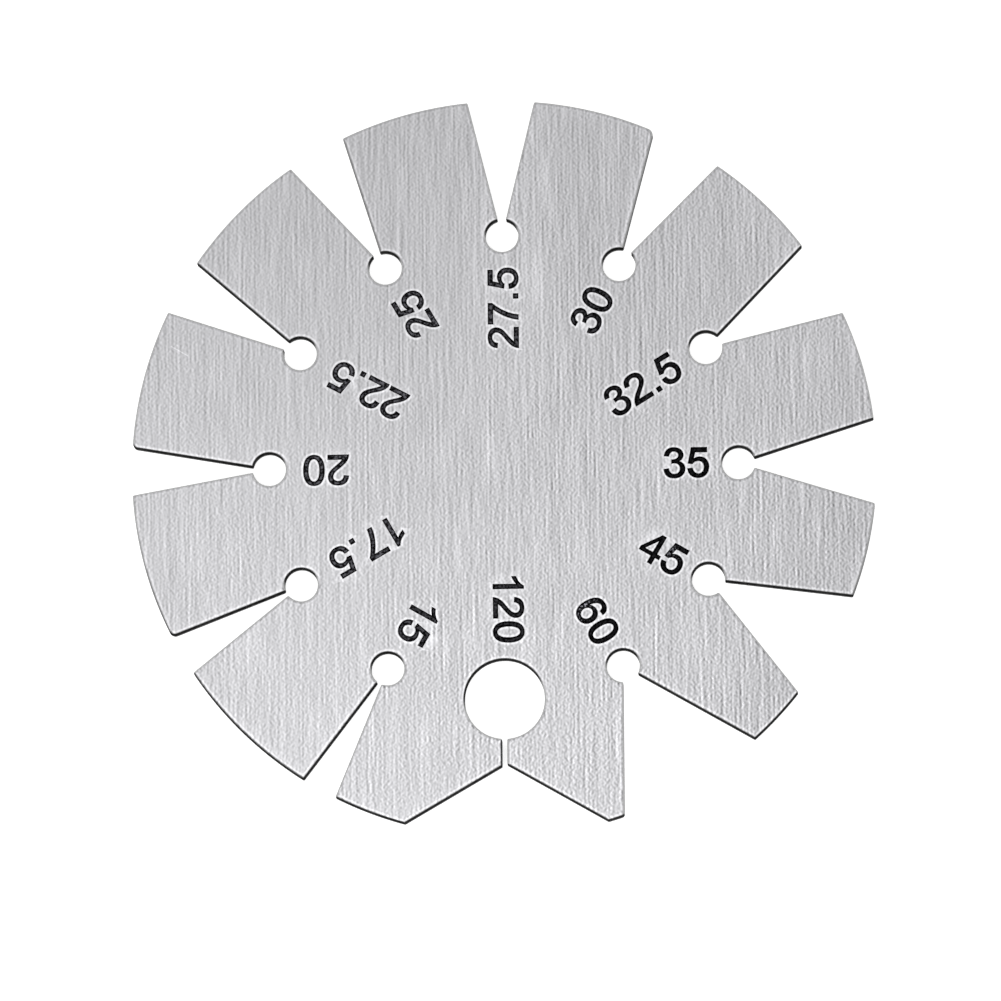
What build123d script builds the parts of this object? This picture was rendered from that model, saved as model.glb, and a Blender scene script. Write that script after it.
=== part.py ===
from build123d import *
import math
import os

# Bevel gauge: one flat stainless disc with twelve open notches around its rim.
# Each notch is a V of an exact included angle, named by the number beside it.
# Millimetres. The plate lies flat: underside on z = 0, numbered face up (+Z),
# disc centre on the Z axis, the wide 120 degree notch towards -Y.

# ---------------------------------------------------------------- dimensions
DISC_R = 27.0            # rim radius (54 mm across)
THICK = 1.0              # sheet thickness
EDGE_BREAK = 0.10        # small bevel left by deburring both faces

PITCH_R = 17.0           # circle that carries the eleven relief hole centres
RELIEF_R = 1.195         # round relief hole at the root of each notch
NOTCH_REACH = 15.0       # how far each notch cutter runs out past the rim

HANG_R = 2.89            # large hanging hole
HANG_X = -0.07
HANG_Y = -17.04
SLIT_W = 0.37            # saw-thin slit from the hanging hole to the wide notch
SLIT_X = -0.10
WIDE_APEX_R = 21.75      # apex of the 120 degree notch, from the disc centre

MARK_DEPTH = 0.05        # depth of the engraved numbers

# included angle of each notch, by the direction it points (degrees from +X)
NOTCHES = {
    0: 35.0, 30: 32.5, 60: 30.0, 90: 27.5, 120: 25.0, 150: 22.5,
    180: 20.0, 210: 17.5, 240: 15.0, 300: 60.0, 330: 45.0,
}
WIDE_DIR = 270
WIDE_ANGLE = 120.0
# notches whose V isn't centred on its relief hole: apex distance from the disc
# centre, and sideways shift (positive is counter-clockwise)
OFF_CENTRE = {150: (16.49, -0.05)}

# tooth corners at the rim that are worn rounder than the rest: direction of the
# notch, side of the notch (+1 counter-clockwise, -1 clockwise) and radius
WORN_CORNERS = [
    (60, +1, 0.50),
    (210, -1, 0.45),
    (180, -1, 0.40),
    (300, -1, 0.25),
]

# number layout: text, direction, tilt of the line, height of the line's middle
# above the notch axis, and each character's centre along the axis
LABELS = [
    ("35", 0, 0.0, 0.06, [12.37, 14.09]),
    ("32.5", 30, 1.3, -0.01, [9.55, 11.24, 12.56, 13.84]),
    ("30", 60, 1.7, 0.08, [12.27, 13.99]),
    ("27.5", 90, 0.0, -0.06, [9.47, 11.24, 12.52, 13.84]),
    ("25", 120, 0.0, -0.13, [12.09, 13.86]),
    ("22.5", 150, 1.8, -0.03, [9.24, 10.94, 12.24, 13.52]),
    ("20", 180, 0.4, 0.11, [12.00, 13.76]),
    ("17.5", 210, 0.0, 0.04, [9.12, 10.96, 12.24, 13.55]),
    ("15", 240, 0.0, 0.31, [11.97, 13.82]),
    ("120", 270, 0.3, 0.26, [8.55, 10.39, 12.15]),
    ("60", 300, -0.5, 0.06, [12.34, 14.10]),
    ("45", 330, -0.5, 0.04, [12.36, 14.14]),
]
POINT_DROP = -0.91       # middle of the decimal point below the digits' middle

# plain sans-serif numerals, each about its own middle, 2.25 mm tall.
# M start, L straight line, C cubic curve; the first contour is the outside.
GLYPHS = {
    "0": [
        [("M", 0.000, 1.126), ("C", 0.520, 1.126, 0.766, 0.700, 0.766, 0.000), ("C", 0.766, -0.700, 0.520, -1.126, 0.000, -1.126), ("C", -0.520, -1.126, -0.766, -0.700, -0.766, 0.000), ("C", -0.766, 0.700, -0.520, 1.126, 0.000, 1.126)],
        [("M", 0.000, 0.829), ("C", -0.270, 0.829, -0.409, 0.500, -0.409, 0.000), ("C", -0.409, -0.500, -0.270, -0.834, 0.000, -0.834), ("C", 0.270, -0.834, 0.409, -0.500, 0.409, 0.000), ("C", 0.409, 0.500, 0.270, 0.829, 0.000, 0.829)],
    ],
    "1": [
        [("M", 0.099, -1.111), ("L", 0.448, -1.111), ("L", 0.448, 1.126), ("L", 0.247, 1.126), ("C", 0.112, 0.861, -0.161, 0.667, -0.456, 0.562), ("L", -0.456, 0.252), ("C", -0.241, 0.327, -0.061, 0.442, 0.099, 0.582)],
    ],
    "2": [
        [("M", -0.789, -1.106), ("L", 0.751, -1.106), ("L", 0.751, -0.764), ("L", -0.303, -0.764), ("C", -0.203, -0.589, 0.068, -0.386, 0.288, -0.196), ("C", 0.588, 0.064, 0.731, 0.250, 0.731, 0.520), ("C", 0.731, 0.900, 0.440, 1.126, 0.020, 1.126), ("C", -0.440, 1.126, -0.719, 0.917, -0.764, 0.447), ("L", -0.408, 0.411), ("C", -0.388, 0.681, -0.220, 0.829, 0.010, 0.829), ("C", 0.230, 0.829, 0.384, 0.680, 0.384, 0.510), ("C", 0.384, 0.330, 0.252, 0.155, 0.032, -0.025), ("C", -0.408, -0.375, -0.739, -0.601, -0.789, -1.106)],
    ],
    "3": [
        [("M", -0.753, 0.498), ("C", -0.688, 0.918, -0.440, 1.126, -0.050, 1.126), ("C", 0.360, 1.126, 0.641, 0.890, 0.641, 0.560), ("C", 0.641, 0.360, 0.509, 0.196, 0.329, 0.106), ("C", 0.589, 0.026, 0.766, -0.160, 0.766, -0.430), ("C", 0.766, -0.850, 0.440, -1.131, -0.020, -1.131), ("C", -0.460, -1.131, -0.739, -0.917, -0.779, -0.467), ("L", -0.426, -0.421), ("C", -0.386, -0.701, -0.220, -0.839, -0.010, -0.839), ("C", 0.220, -0.839, 0.409, -0.660, 0.409, -0.430), ("C", 0.409, -0.200, 0.230, -0.031, 0.000, -0.031), ("C", -0.080, -0.031, -0.131, -0.033, -0.216, -0.063), ("L", -0.216, 0.226), ("C", 0.089, 0.226, 0.294, 0.340, 0.294, 0.560), ("C", 0.294, 0.710, 0.140, 0.839, -0.050, 0.839), ("C", -0.240, 0.839, -0.366, 0.720, -0.401, 0.480)],
    ],
    "4": [
        [("M", 0.169, -1.126), ("L", 0.511, -1.126), ("L", 0.511, -0.566), ("L", 0.826, -0.566), ("L", 0.826, -0.284), ("L", 0.511, -0.284), ("L", 0.511, 1.136), ("L", 0.190, 1.136), ("L", -0.816, -0.296), ("L", -0.816, -0.566), ("L", 0.169, -0.566)],
        [("M", 0.169, -0.284), ("L", -0.487, -0.284), ("L", 0.169, 0.640)],
    ],
    "5": [
        [("M", -0.779, -0.437), ("L", -0.416, -0.405), ("C", -0.366, -0.680, -0.200, -0.819, 0.000, -0.819), ("C", 0.240, -0.819, 0.419, -0.610, 0.419, -0.330), ("C", 0.419, -0.060, 0.240, 0.119, -0.010, 0.119), ("C", -0.180, 0.119, -0.319, 0.050, -0.419, -0.100), ("L", -0.747, -0.063), ("L", -0.505, 1.111), ("L", 0.631, 1.111), ("L", 0.631, 0.754), ("L", -0.225, 0.754), ("L", -0.339, 0.280), ("C", -0.209, 0.360, -0.040, 0.421, 0.090, 0.421), ("C", 0.500, 0.421, 0.771, 0.120, 0.771, -0.310), ("C", 0.771, -0.780, 0.460, -1.121, -0.010, -1.121), ("C", -0.450, -1.121, -0.739, -0.877, -0.779, -0.437)],
    ],
    "6": [
        [("M", 0.728, 0.576), ("L", 0.374, 0.521), ("C", 0.324, 0.731, 0.210, 0.829, 0.060, 0.829), ("C", -0.200, 0.829, -0.383, 0.518, -0.413, 0.068), ("C", -0.283, 0.238, -0.070, 0.371, 0.130, 0.371), ("C", 0.520, 0.371, 0.781, 0.070, 0.781, -0.360), ("C", 0.781, -0.820, 0.480, -1.126, 0.040, -1.126), ("C", -0.470, -1.126, -0.781, -0.760, -0.781, -0.060), ("C", -0.781, 0.740, -0.470, 1.126, 0.080, 1.126), ("C", 0.440, 1.126, 0.668, 0.946, 0.728, 0.576)],
        [("M", 0.030, 0.079), ("C", -0.180, 0.079, -0.359, -0.120, -0.359, -0.360), ("C", -0.359, -0.630, -0.190, -0.839, 0.030, -0.839), ("C", 0.250, -0.839, 0.419, -0.640, 0.419, -0.380), ("C", 0.419, -0.110, 0.250, 0.079, 0.030, 0.079)],
    ],
    "7": [
        [("M", -0.781, 1.106), ("L", 0.771, 1.106), ("L", 0.771, 0.807), ("C", 0.381, 0.367, -0.027, -0.341, -0.097, -1.096), ("L", -0.459, -1.096), ("C", -0.389, -0.391, -0.062, 0.239, 0.318, 0.744), ("L", -0.781, 0.744)],
    ],
    ".": [
        [("M", -0.181, -0.181), ("L", 0.181, -0.181), ("L", 0.181, 0.181), ("L", -0.181, 0.181)],
    ],
}


def polar(r, deg):
    return (r * math.cos(math.radians(deg)), r * math.sin(math.radians(deg)))


def vee(apex_r, direction, angle, reach, shift=0.0):
    """Triangle with its apex near the notch axis, opening outwards."""
    ax, ay = polar(apex_r, direction)
    sx, sy = polar(shift, direction + 90)
    ax, ay = ax + sx, ay + sy
    lx, ly = polar(reach, direction - angle / 2)
    rx, ry = polar(reach, direction + angle / 2)
    pts = [(ax, ay), (ax + lx, ay + ly), (ax + rx, ay + ry)]
    return make_face(Polyline(*pts, close=True))


def contour_wire(contour):
    edges = []
    start = cur = contour[0][1:3]
    for seg in contour[1:]:
        if seg[0] == "L":
            nxt = seg[1:3]
            edges.append(Line(cur, nxt))
        else:
            nxt = seg[5:7]
            edges.append(Bezier(cur, seg[1:3], seg[3:5], nxt))
        cur = nxt
    if math.hypot(cur[0] - start[0], cur[1] - start[1]) > 1e-9:
        edges.append(Line(cur, start))
    return Wire([e.edge() if hasattr(e, "edge") else e for e in edges])


def glyph_face(ch):
    face = Face(contour_wire(GLYPHS[ch][0]))
    for inner in GLYPHS[ch][1:]:
        face = (face - Face(contour_wire(inner))).face()
    return face


# ------------------------------------------------------------ plate outline
outline = Circle(DISC_R)
for direction, angle in NOTCHES.items():
    apex_r, shift = OFF_CENTRE.get(direction, (PITCH_R, 0.0))
    outline -= vee(apex_r, direction, angle, NOTCH_REACH, shift)
outline -= vee(WIDE_APEX_R, WIDE_DIR, WIDE_ANGLE, NOTCH_REACH)
for direction in NOTCHES:
    cx, cy = polar(PITCH_R, direction)
    outline -= Pos(cx, cy) * Circle(RELIEF_R)
outline -= Pos(HANG_X, HANG_Y) * Circle(HANG_R)
slit_top = HANG_Y - HANG_R + 0.4
slit_end = -WIDE_APEX_R - 0.3
outline -= Pos(SLIT_X, (slit_top + slit_end) / 2) * Rectangle(SLIT_W, slit_top - slit_end)

plate = extrude(outline, THICK)

# ------------------------------------------------- worn corners of the teeth
def rim_corner(direction, side):
    """Where one edge of a notch meets the rim."""
    ax, ay = polar(PITCH_R, direction)
    ux, uy = polar(1.0, direction + side * NOTCHES[direction] / 2)
    b = ax * ux + ay * uy
    c = ax * ax + ay * ay - DISC_R ** 2
    s = -b + math.sqrt(b * b - c)
    return ax + s * ux, ay + s * uy


for direction, side, radius in WORN_CORNERS:
    px, py = rim_corner(direction, side)
    corner = plate.edges().filter_by(Axis.Z).sort_by_distance((px, py, THICK / 2))[0]
    plate = fillet(corner, radius)

# -------------------------------------------------------- deburred edges
top_face = plate.faces().sort_by(Axis.Z)[-1]
bottom_face = plate.faces().sort_by(Axis.Z)[0]
plate = chamfer(top_face.edges() + bottom_face.edges(), EDGE_BREAK)

# ------------------------------------------------------ engraved numbers
cutters = []
for text, direction, tilt, mid, centres in LABELS:
    u_mid = (centres[0] + centres[-1]) / 2
    for ch, u in zip(text, centres):
        v = mid + (u - u_mid) * math.tan(math.radians(tilt))
        if ch == ".":
            v += POINT_DROP
        x0, y0 = polar(u, direction)
        x1, y1 = polar(v, direction + 90)
        place = Pos(x0 + x1, y0 + y1, THICK - MARK_DEPTH) * Rot(0, 0, direction + tilt)
        cutters.append(place * extrude(glyph_face(ch), MARK_DEPTH + 0.2))
plate = plate - cutters

gauge_plate = plate.solid()
gauge_plate.label = "gauge_plate"

os.makedirs("parts", exist_ok=True)
print("volume mm3", round(gauge_plate.volume, 2))
print("mass g at 7.9 g/cm3", round(gauge_plate.volume * 7.9e-3, 2))
export_step(gauge_plate, "parts/gauge_plate.step")
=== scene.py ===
import math

import bpy
import numpy as np
from mathutils import Matrix, Vector
from mathutils.geometry import delaunay_2d_cdt
from mathutils.kdtree import KDTree


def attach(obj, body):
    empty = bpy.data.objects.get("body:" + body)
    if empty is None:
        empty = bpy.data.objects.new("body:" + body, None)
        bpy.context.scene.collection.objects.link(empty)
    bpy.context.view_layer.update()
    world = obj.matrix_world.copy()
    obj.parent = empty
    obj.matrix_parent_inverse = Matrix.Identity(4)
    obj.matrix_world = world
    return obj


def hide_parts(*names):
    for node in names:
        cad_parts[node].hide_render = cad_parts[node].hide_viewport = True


# Bevel gauge: one flat disc of brushed stainless sheet with twelve V notches,
# eleven relief holes, a hanging hole with a slit, and engraved black numbers.
# Lengths are worked out in millimetres and written to the mesh in metres.

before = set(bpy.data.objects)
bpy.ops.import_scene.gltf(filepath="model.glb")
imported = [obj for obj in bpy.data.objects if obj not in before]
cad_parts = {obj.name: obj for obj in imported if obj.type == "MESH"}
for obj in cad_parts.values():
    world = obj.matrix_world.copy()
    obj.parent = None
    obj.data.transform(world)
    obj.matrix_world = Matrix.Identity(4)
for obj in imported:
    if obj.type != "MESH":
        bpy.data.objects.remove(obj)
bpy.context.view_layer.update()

# ------------------------------------------------------------------ dimensions
DISC_R = 27.0
THICK = 1.0
PITCH_R = 17.0
RELIEF_R = 1.195
HANG_R, HANG_X, HANG_Y = 2.89, -0.07, -17.04
SLIT_W, SLIT_X = 0.37, -0.10
WIDE_APEX_R, WIDE_DIR, WIDE_ANGLE = 21.75, 270, 120.0
NOTCHES = {
    0: 35.0, 30: 32.5, 60: 30.0, 90: 27.5, 120: 25.0, 150: 22.5,
    180: 20.0, 210: 17.5, 240: 15.0, 300: 60.0, 330: 45.0,
}
OFF_CENTRE = {150: (16.49, -0.05)}
WORN = {(60, 1): 0.50, (210, -1): 0.45, (180, -1): 0.40, (300, -1): 0.25}
CORNER_R = 0.108          # the small radius a cut corner really has
EDGE_R = 0.10             # rounding left by deburring both faces
NUMBER_DEPTH = 0.05
NUMBER_SIDE = 0.055       # width of the sloping side of a stroke
NUMBER_GROW = 0.020       # how far the fill spreads past the nominal outline
STEP = 0.075              # spacing of points along the outline
GLOW = ((-0.045, -1.9), (0.0, 0.55), (0.045, 1.05), (0.09, 1.10), (0.135, 0.55), (0.18, 0.14), (0.23, 0.0))   # painted highlight along the edges; distance, strength
SOFT_GLOW = ((0.0, 0.0), (0.055, 0.0), (0.10, 0.5), (0.145, 1.0), (0.19, 0.6), (0.24, 0.0))   # painted highlight past the painted shade line
# a pale halo round the figures, with a slightly darker ring just past it; distance, strength
NUMBER_GLOW = ((0.0, 0.50), (0.045, 1.0), (0.095, 1.30), (0.145, 0.52), (0.195, -0.10), (0.255, -0.12), (0.34, 0.0))
SHADE = ((0.0, 0.63), (0.055, 0.60), (0.10, 0.22), (0.145, -0.12), (0.19, -0.15), (0.23, 0.0))    # painted shade, a dark line along the other edges
# tone of the edge from the top face round and down, where it faces down and to the right, and where it faces up and to
# the left; on the upper rounding this is painted light and shade, pale where the edge faces up and to the left and dark
# where it faces down and to the right
EDGE_TONE = ((0.14, 0.42), (0.015, 0.43), (0.0, 0.45), (0.0, 0.42), (0.0, 0.03), (0.045, 0.05), (0.14, 0.12),
             (0.21, 0.18), (0.13, 0.13), (0.08, 0.08), (0.05, 0.05))
LATE = 0.058              # how much further in the painted highlight starts on the lower left of the rim
CUT_DEPTH = 0.009         # depth of the fine cutting lines on the edge faces
SCRATCH = (-24.12, 9.19, -22.88, 8.46)
FILL = ((0.065, 0.0), (0.12, 0.55), (0.165, 1.0), (0.3, 1.0))           # distance into a stroke, how pale its fill is there
BARE = ((12.02, -6.53), (5.94, -10.11), (5.55, -10.75))    # where the fill of two figures is rubbed off a little
PITS = ((-0.07, 3.12, -0.07, 3.00), (-0.07, 2.68, -0.07, 2.54))

LABELS = [
    ("35", 0, 0.0, 0.06, [12.37, 14.09]),
    ("32.5", 30, 1.3, -0.01, [9.55, 11.24, 12.56, 13.84]),
    ("30", 60, 1.7, 0.08, [12.27, 13.99]),
    ("27.5", 90, 0.0, -0.06, [9.47, 11.24, 12.52, 13.84]),
    ("25", 120, 0.0, -0.13, [12.09, 13.86]),
    ("22.5", 150, 1.8, -0.03, [9.24, 10.94, 12.24, 13.52]),
    ("20", 180, 0.4, 0.11, [12.00, 13.76]),
    ("17.5", 210, 0.0, 0.04, [9.12, 10.96, 12.24, 13.55]),
    ("15", 240, 0.0, 0.31, [11.97, 13.82]),
    ("120", 270, 0.3, 0.26, [8.55, 10.39, 12.15]),
    ("60", 300, -0.5, 0.06, [12.34, 14.10]),
    ("45", 330, -0.5, 0.04, [12.36, 14.14]),
]
POINT_DROP = -0.91
GLYPHS = {
    "0": [
        [("M", 0.000, 1.126), ("C", 0.520, 1.126, 0.766, 0.700, 0.766, 0.000), ("C", 0.766, -0.700, 0.520, -1.126, 0.000, -1.126), ("C", -0.520, -1.126, -0.766, -0.700, -0.766, 0.000), ("C", -0.766, 0.700, -0.520, 1.126, 0.000, 1.126)],
        [("M", 0.000, 0.829), ("C", -0.270, 0.829, -0.409, 0.500, -0.409, 0.000), ("C", -0.409, -0.500, -0.270, -0.834, 0.000, -0.834), ("C", 0.270, -0.834, 0.409, -0.500, 0.409, 0.000), ("C", 0.409, 0.500, 0.270, 0.829, 0.000, 0.829)],
    ],
    "1": [
        [("M", 0.099, -1.111), ("L", 0.448, -1.111), ("L", 0.448, 1.126), ("L", 0.247, 1.126), ("C", 0.112, 0.861, -0.161, 0.667, -0.456, 0.562), ("L", -0.456, 0.252), ("C", -0.241, 0.327, -0.061, 0.442, 0.099, 0.582)],
    ],
    "2": [
        [("M", -0.789, -1.106), ("L", 0.751, -1.106), ("L", 0.751, -0.764), ("L", -0.303, -0.764), ("C", -0.203, -0.589, 0.068, -0.386, 0.288, -0.196), ("C", 0.588, 0.064, 0.731, 0.250, 0.731, 0.520), ("C", 0.731, 0.900, 0.440, 1.126, 0.020, 1.126), ("C", -0.440, 1.126, -0.719, 0.917, -0.764, 0.447), ("L", -0.408, 0.411), ("C", -0.388, 0.681, -0.220, 0.829, 0.010, 0.829), ("C", 0.230, 0.829, 0.384, 0.680, 0.384, 0.510), ("C", 0.384, 0.330, 0.252, 0.155, 0.032, -0.025), ("C", -0.408, -0.375, -0.739, -0.601, -0.789, -1.106)],
    ],
    "3": [
        [("M", -0.753, 0.498), ("C", -0.688, 0.918, -0.440, 1.126, -0.050, 1.126), ("C", 0.360, 1.126, 0.641, 0.890, 0.641, 0.560), ("C", 0.641, 0.360, 0.509, 0.196, 0.329, 0.106), ("C", 0.589, 0.026, 0.766, -0.160, 0.766, -0.430), ("C", 0.766, -0.850, 0.440, -1.131, -0.020, -1.131), ("C", -0.460, -1.131, -0.739, -0.917, -0.779, -0.467), ("L", -0.426, -0.421), ("C", -0.386, -0.701, -0.220, -0.839, -0.010, -0.839), ("C", 0.220, -0.839, 0.409, -0.660, 0.409, -0.430), ("C", 0.409, -0.200, 0.230, -0.031, 0.000, -0.031), ("C", -0.080, -0.031, -0.131, -0.033, -0.216, -0.063), ("L", -0.216, 0.226), ("C", 0.089, 0.226, 0.294, 0.340, 0.294, 0.560), ("C", 0.294, 0.710, 0.140, 0.839, -0.050, 0.839), ("C", -0.240, 0.839, -0.366, 0.720, -0.401, 0.480)],
    ],
    "4": [
        [("M", 0.169, -1.126), ("L", 0.511, -1.126), ("L", 0.511, -0.566), ("L", 0.826, -0.566), ("L", 0.826, -0.284), ("L", 0.511, -0.284), ("L", 0.511, 1.136), ("L", 0.190, 1.136), ("L", -0.816, -0.296), ("L", -0.816, -0.566), ("L", 0.169, -0.566)],
        [("M", 0.169, -0.284), ("L", -0.487, -0.284), ("L", 0.169, 0.640)],
    ],
    "5": [
        [("M", -0.779, -0.437), ("L", -0.416, -0.405), ("C", -0.366, -0.680, -0.200, -0.819, 0.000, -0.819), ("C", 0.240, -0.819, 0.419, -0.610, 0.419, -0.330), ("C", 0.419, -0.060, 0.240, 0.119, -0.010, 0.119), ("C", -0.180, 0.119, -0.319, 0.050, -0.419, -0.100), ("L", -0.747, -0.063), ("L", -0.505, 1.111), ("L", 0.631, 1.111), ("L", 0.631, 0.754), ("L", -0.225, 0.754), ("L", -0.339, 0.280), ("C", -0.209, 0.360, -0.040, 0.421, 0.090, 0.421), ("C", 0.500, 0.421, 0.771, 0.120, 0.771, -0.310), ("C", 0.771, -0.780, 0.460, -1.121, -0.010, -1.121), ("C", -0.450, -1.121, -0.739, -0.877, -0.779, -0.437)],
    ],
    "6": [
        [("M", 0.728, 0.576), ("L", 0.374, 0.521), ("C", 0.324, 0.731, 0.210, 0.829, 0.060, 0.829), ("C", -0.200, 0.829, -0.383, 0.518, -0.413, 0.068), ("C", -0.283, 0.238, -0.070, 0.371, 0.130, 0.371), ("C", 0.520, 0.371, 0.781, 0.070, 0.781, -0.360), ("C", 0.781, -0.820, 0.480, -1.126, 0.040, -1.126), ("C", -0.470, -1.126, -0.781, -0.760, -0.781, -0.060), ("C", -0.781, 0.740, -0.470, 1.126, 0.080, 1.126), ("C", 0.440, 1.126, 0.668, 0.946, 0.728, 0.576)],
        [("M", 0.030, 0.079), ("C", -0.180, 0.079, -0.359, -0.120, -0.359, -0.360), ("C", -0.359, -0.630, -0.190, -0.839, 0.030, -0.839), ("C", 0.250, -0.839, 0.419, -0.640, 0.419, -0.380), ("C", 0.419, -0.110, 0.250, 0.079, 0.030, 0.079)],
    ],
    "7": [
        [("M", -0.781, 1.106), ("L", 0.771, 1.106), ("L", 0.771, 0.807), ("C", 0.381, 0.367, -0.027, -0.341, -0.097, -1.096), ("L", -0.459, -1.096), ("C", -0.389, -0.391, -0.062, 0.239, 0.318, 0.744), ("L", -0.781, 0.744)],
    ],
    ".": [
        [("M", -0.181, -0.181), ("L", 0.181, -0.181), ("L", 0.181, 0.181), ("L", -0.181, 0.181)],
    ],
}


# ------------------------------------------------------------- plate outline
def polar(r, deg):
    return np.array([r * math.cos(math.radians(deg)), r * math.sin(math.radians(deg))])


class Line:
    def __init__(self, a, b):
        self.a, self.b = np.asarray(a, float), np.asarray(b, float)

    def unit(self):
        d = self.b - self.a
        return d / np.linalg.norm(d)

    def left(self):
        u = self.unit()
        return np.array([-u[1], u[0]])


class Arc:
    """Arc about c; turn +1 runs counter-clockwise, -1 clockwise."""

    def __init__(self, c, r, a, b, turn):
        self.c, self.r, self.turn = np.asarray(c, float), r, turn
        self.a, self.b = np.asarray(a, float), np.asarray(b, float)


def line_circle(p, u, c, r, far):
    """Where the line p + t u meets a circle: the far or the near crossing."""
    d = p - c
    b = d @ u
    disc = b * b - (d @ d - r * r)
    t = -b + (math.sqrt(disc) if far else -math.sqrt(disc))
    return p + t * u


def offset_line(seg, d):
    return seg.a + seg.left() * d, seg.unit()


def fillet_centre(s0, s1, r, corner):
    """Centre of a circle of radius r, inside the material (on the left), that touches both."""
    def grown(arc):
        return arc.r - r if arc.turn > 0 else arc.r + r

    if isinstance(s0, Line) and isinstance(s1, Line):
        p, u = offset_line(s0, r)
        q, v = offset_line(s1, r)
        t = np.linalg.solve(np.array([u, -v]).T, q - p)[0]
        return p + t * u
    line, arc = (s0, s1) if isinstance(s0, Line) else (s1, s0)
    p, u = offset_line(line, r)
    both = [line_circle(p, u, arc.c, grown(arc), far) for far in (True, False)]
    return min(both, key=lambda q: np.linalg.norm(q - corner))


def foot(seg, c):
    if isinstance(seg, Line):
        u = seg.unit()
        return seg.a + ((c - seg.a) @ u) * u
    d = c - seg.c
    return seg.c + d / np.linalg.norm(d) * seg.r


def outline_segments():
    """The whole edge as one loop, counter-clockwise, with its corner radii."""
    segs, radii = [], []      # radii[i] is the corner between segs[i] and segs[i+1]
    centre = np.zeros(2)
    dirs = sorted(list(NOTCHES) + [WIDE_DIR])
    marks = []
    for d in dirs:
        if d == WIDE_DIR:
            apex, half = polar(WIDE_APEX_R, d), WIDE_ANGLE / 2
        else:
            r, shift = OFF_CENTRE.get(d, (PITCH_R, 0.0))
            apex, half = polar(r, d) + polar(shift, d + 90), NOTCHES[d] / 2
        cw, ccw = polar(1.0, d - half), polar(1.0, d + half)
        marks.append((d, apex, cw, ccw,
                      line_circle(apex, cw, centre, DISC_R, True),
                      line_circle(apex, ccw, centre, DISC_R, True)))
    for i, (d, apex, cw, ccw, p_cw, p_ccw) in enumerate(marks):
        nxt = marks[(i + 1) % len(marks)]
        if d == WIDE_DIR:
            hub = np.array([HANG_X, HANG_Y])
            xl, xr = SLIT_X - SLIT_W / 2, SLIT_X + SLIT_W / 2
            left_low = apex + cw * ((xl - apex[0]) / cw[0])
            right_low = apex + ccw * ((xr - apex[0]) / ccw[0])
            left_top = line_circle(left_low, np.array([0.0, 1.0]), hub, HANG_R, False)
            right_top = line_circle(right_low, np.array([0.0, 1.0]), hub, HANG_R, False)
            segs += [Line(p_cw, left_low), Line(left_low, left_top),
                     Arc(hub, HANG_R, left_top, right_top, -1),
                     Line(right_top, right_low), Line(right_low, p_ccw)]
            radii += [CORNER_R] * 4
        else:
            hub = polar(PITCH_R, d)
            a = line_circle(apex, cw, hub, RELIEF_R, True)
            b = line_circle(apex, ccw, hub, RELIEF_R, True)
            segs += [Line(p_cw, a), Arc(hub, RELIEF_R, a, b, -1), Line(b, p_ccw)]
            radii += [CORNER_R] * 2
        radii.append(WORN.get((d, 1), CORNER_R))
        segs.append(Arc(centre, DISC_R, p_ccw, nxt[4], 1))
        radii.append(WORN.get((nxt[0], -1), CORNER_R))
    return segs, radii


def rounded_outline():
    segs, radii = outline_segments()
    n = len(segs)
    ends = [None] * n
    starts = [None] * n
    fillets = [None] * n
    for i in range(n):
        s0, s1 = segs[i], segs[(i + 1) % n]
        c = fillet_centre(s0, s1, radii[i], s0.b)
        ends[i], starts[(i + 1) % n] = foot(s0, c), foot(s1, c)
        fillets[i] = Arc(c, radii[i], ends[i], starts[(i + 1) % n], 1)
    out = []
    for i, s in enumerate(segs):
        if isinstance(s, Line):
            out.append(Line(starts[i], ends[i]))
        else:
            out.append(Arc(s.c, s.r, starts[i], ends[i], s.turn))
        out.append(fillets[i])
    return out


def sample_outline(step):
    """Points round the edge, with outward normals and the length run so far."""
    pts, nrm = [], []
    for s in rounded_outline():
        if isinstance(s, Line):
            k = max(1, round(np.linalg.norm(s.b - s.a) / step))
            n = -s.left()
            for j in range(k):
                pts.append(s.a + (s.b - s.a) * j / k)
                nrm.append(n)
        else:
            a0 = math.atan2(*(s.a - s.c)[::-1])
            a1 = math.atan2(*(s.b - s.c)[::-1])
            sweep = (a1 - a0) * s.turn % (2 * math.pi)
            k = max(6, round(sweep * s.r / step))
            for j in range(k):
                a = a0 + s.turn * sweep * j / k
                u = np.array([math.cos(a), math.sin(a)])
                pts.append(s.c + u * s.r)
                nrm.append(u * s.turn)
    pts, nrm = np.array(pts), np.array(nrm)
    run = np.concatenate([[0], np.cumsum(np.linalg.norm(np.roll(pts, -1, 0) - pts, axis=1))])
    return pts, nrm, run[:-1], run[-1]


def wander(length, pitch, seed):
    """Smooth random values in -1..1 along a closed length."""
    n = max(4, int(length / pitch))
    knots = np.random.RandomState(seed).uniform(-1, 1, n)

    def at(s):
        x = (s % length) / length * n
        i = np.floor(x).astype(int)
        f = x - i
        f = f * f * (3 - 2 * f)
        return knots[i % n] * (1 - f) + knots[(i + 1) % n] * f
    return at


# ------------------------------------------------------------------- numbers
def contour_points(contour, step=0.07):
    pts = []
    cur = np.array(contour[0][1:3])
    first = cur
    for seg in contour[1:]:
        if seg[0] == "L":
            pts.append(cur)
            cur = np.array(seg[1:3])
        else:
            p0, p1, p2, p3 = cur, np.array(seg[1:3]), np.array(seg[3:5]), np.array(seg[5:7])
            size = (np.linalg.norm(p1 - p0) + np.linalg.norm(p2 - p1)
                    + np.linalg.norm(p3 - p2) + np.linalg.norm(p3 - p0)) / 2
            k = max(3, math.ceil(size / step))
            for j in range(k):
                t = j / k
                pts.append((1 - t) ** 3 * p0 + 3 * (1 - t) ** 2 * t * p1
                           + 3 * (1 - t) * t * t * p2 + t ** 3 * p3)
            cur = p3
    if np.linalg.norm(cur - first) > 1e-6:
        pts.append(cur)
    return np.array(pts)


def area2(p):
    q = np.roll(p, -1, 0)
    return float((p[:, 0] * q[:, 1] - q[:, 0] * p[:, 1]).sum())


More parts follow.
